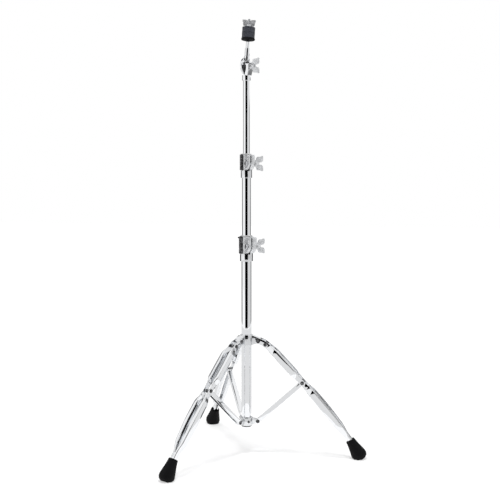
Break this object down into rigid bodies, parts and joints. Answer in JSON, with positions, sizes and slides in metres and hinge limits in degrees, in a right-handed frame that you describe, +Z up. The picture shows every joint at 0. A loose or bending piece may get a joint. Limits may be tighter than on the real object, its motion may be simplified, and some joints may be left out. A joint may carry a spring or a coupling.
{
  "type": "straight cymbal stand",
  "caption": "Folding tripod stand with telescoping chrome tubes, hinged height clamps, a tilter and a felt-padded threaded rod that carries a cymbal.",
  "frame": {"origin": "centre of the flat bottom face of the plug that closes the base tube, on the column's axis", "axes": "+Z up the column, +X along the leg that points to the right in the picture"},
  "size_m": [0.5234, 0.5972, 1.2209],
  "materials": {
    "chrome_tube": "mirror chrome plating on steel tube and sheet",
    "chrome_casting": "chrome plating on castings",
    "plated_steel": "zinc and nickel plated pins, bolts and screws",
    "nylon": "black moulded nylon",
    "rubber": "matt black moulded rubber",
    "felt": "pressed grey wool felt"
  },
  "bodies": {
    "column": {"base_tube": "chrome_tube", "base_tube_end_plug": "nylon", "stay_collar": "chrome_casting", "stay_collar_rivet": "plated_steel", "leg_1_stay_pin": "plated_steel", "leg_2_stay_pin": "plated_steel", "leg_3_stay_pin": "plated_steel", "lower_clamp_body": "chrome_casting", "lower_clamp_hinge_pin": "plated_steel"},
    "stay_1": {"leg_1_stay": "chrome_tube"},
    "stay_2": {"leg_2_stay": "chrome_tube"},
    "stay_3": {"leg_3_stay": "chrome_tube"},
    "leg_1": {"leg_1_bar_left": "chrome_tube", "leg_1_bar_right": "chrome_tube", "leg_1_hinge_pin": "plated_steel", "leg_1_top_rivet": "plated_steel", "leg_1_waist_rivet": "plated_steel", "leg_1_rubber_foot": "rubber"},
    "leg_2": {"leg_2_bar_left": "chrome_tube", "leg_2_bar_right": "chrome_tube", "leg_2_hinge_pin": "plated_steel", "leg_2_top_rivet": "plated_steel", "leg_2_waist_rivet": "plated_steel", "leg_2_rubber_foot": "rubber"},
    "leg_3": {"leg_3_bar_left": "chrome_tube", "leg_3_bar_right": "chrome_tube", "leg_3_hinge_pin": "plated_steel", "leg_3_top_rivet": "plated_steel", "leg_3_waist_rivet": "plated_steel", "leg_3_rubber_foot": "rubber"},
    "sliding_collar": {"leg_collar": "chrome_casting", "leg_collar_screw": "plated_steel"},
    "lower_jaw": {"lower_clamp_jaw": "chrome_casting", "lower_clamp_bolt": "plated_steel"},
    "lower_nut": {"lower_clamp_wing_nut": "chrome_casting"},
    "lower_bushing": {"lower_clamp_bushing": "nylon"},
    "middle": {"middle_tube": "chrome_tube", "upper_clamp_body": "chrome_casting", "upper_clamp_hinge_pin": "plated_steel"},
    "upper_jaw": {"upper_clamp_jaw": "chrome_casting", "upper_clamp_bolt": "plated_steel"},
    "upper_nut": {"upper_clamp_wing_nut": "chrome_casting"},
    "upper_bushing": {"upper_clamp_bushing": "nylon"},
    "upper": {"upper_tube": "chrome_tube", "tilter_base": "chrome_casting", "tilter_roll_pin": "plated_steel", "tilter_bolt": "plated_steel", "tilter_friction_washer": "nylon"},
    "tilter_nut": {"tilter_wing_nut": "chrome_casting"},
    "rod": {"tilter_head": "chrome_casting", "cymbal_rod": "chrome_tube", "seat_washer": "nylon", "seat_sleeve": "nylon", "lower_felt": "felt"},
    "top_felt": {"upper_felt": "felt"},
    "rod_nut": {"cymbal_wing_nut": "chrome_casting"}
  },
  "joints": [
    {"name": "stay_1_fold", "type": "hinge", "parent": "column", "child": "stay_1", "pos_m": [0.0335, 0, 0.0165], "axis": [0, -1, 0], "range_deg": [0, 38]},
    {"name": "stay_2_fold", "type": "hinge", "parent": "column", "child": "stay_2", "pos_m": [-0.01675, 0.02901, 0.0165], "axis": [0.866, 0.5, 0], "range_deg": [0, 38]},
    {"name": "stay_3_fold", "type": "hinge", "parent": "column", "child": "stay_3", "pos_m": [-0.01675, -0.02901, 0.0165], "axis": [-0.866, 0.5, 0], "range_deg": [0, 38]},
    {"name": "leg_1_fold", "type": "hinge", "parent": "stay_1", "child": "leg_1", "pos_m": [0.1605, 0, 0.133], "axis": [0, -1, 0], "range_deg": [-76, 0]},
    {"name": "leg_2_fold", "type": "hinge", "parent": "stay_2", "child": "leg_2", "pos_m": [-0.08025, 0.139, 0.133], "axis": [0.866, 0.5, 0], "range_deg": [-76, 0]},
    {"name": "leg_3_fold", "type": "hinge", "parent": "stay_3", "child": "leg_3", "pos_m": [-0.08025, -0.139, 0.133], "axis": [-0.866, 0.5, 0], "range_deg": [-76, 0]},
    {"name": "collar_ride", "type": "hinge", "parent": "leg_1", "child": "sliding_collar", "pos_m": [0.0335, 0, 0.2495], "axis": [0, -1, 0], "range_deg": [0, 38]},
    {"name": "lower_jaw_swing", "type": "hinge", "parent": "column", "child": "lower_jaw", "pos_m": [-0.01282, -0.01528, 0.52], "axis": [0, 0, -1], "range_deg": [0, 1]},
    {"name": "lower_nut_turn", "type": "hinge", "parent": "lower_jaw", "child": "lower_nut", "pos_m": [0.01577, -0.02253, 0.5172], "axis": [0.8192, 0.5736, 0], "range_deg": [0, 112]},
    {"name": "lower_tube_swivel", "type": "hinge", "parent": "column", "child": "lower_bushing", "pos_m": [0, 0, 0.52], "axis": [0, 0, 1], "continuous": true},
    {"name": "lower_tube_slide", "type": "slide", "parent": "lower_bushing", "child": "middle", "axis": [0, 0, 1], "range_m": [-0.158, 0.16]},
    {"name": "upper_jaw_swing", "type": "hinge", "parent": "middle", "child": "upper_jaw", "pos_m": [-0.01106, -0.01318, 0.75], "axis": [0, 0, -1], "range_deg": [0, 1]},
    {"name": "upper_nut_turn", "type": "hinge", "parent": "upper_jaw", "child": "upper_nut", "pos_m": [0.01291, -0.01843, 0.7465], "axis": [0.8192, 0.5736, 0], "range_deg": [0, 91]},
    {"name": "upper_tube_swivel", "type": "hinge", "parent": "middle", "child": "upper_bushing", "pos_m": [0, 0, 0.75], "axis": [0, 0, 1], "continuous": true},
    {"name": "upper_tube_slide", "type": "slide", "parent": "upper_bushing", "child": "upper", "axis": [0, 0, 1], "range_m": [-0.2, 0.16]},
    {"name": "tilter_nut_turn", "type": "hinge", "parent": "upper", "child": "tilter_nut", "pos_m": [0, 0, 1.014], "axis": [0.9397, -0.342, 0], "continuous": true},
    {"name": "tilter_tilt", "type": "hinge", "parent": "upper", "child": "rod", "pos_m": [0, 0, 1.014], "axis": [-0.9397, 0.342, 0], "range_deg": [-97, 83]},
    {"name": "top_felt_lift", "type": "slide", "parent": "rod", "child": "top_felt", "axis": [0.0417, 0.1145, 0.9925], "range_m": [0, 0.0075]},
    {"name": "rod_nut_turn", "type": "hinge", "parent": "top_felt", "child": "rod_nut", "pos_m": [0, 0, 1.014], "axis": [0.0417, 0.1145, 0.9925], "range_deg": [0, 2154]}
  ],
  "couplings": [
    {"joint": "stay_2_fold", "follows": "stay_1_fold", "ratio": 1},
    {"joint": "stay_3_fold", "follows": "stay_1_fold", "ratio": 1},
    {"joint": "leg_1_fold", "follows": "stay_1_fold", "ratio": -2},
    {"joint": "leg_2_fold", "follows": "stay_1_fold", "ratio": -2},
    {"joint": "leg_3_fold", "follows": "stay_1_fold", "ratio": -2},
    {"joint": "collar_ride", "follows": "stay_1_fold", "ratio": 1},
    {"joint": "lower_jaw_swing", "follows": "lower_nut_turn", "ratio": 0.008928},
    {"joint": "upper_jaw_swing", "follows": "upper_nut_turn", "ratio": 0.010988},
    {"joint": "top_felt_lift", "follows": "rod_nut_turn", "m_per_rad": 0.00019894}
  ]
}
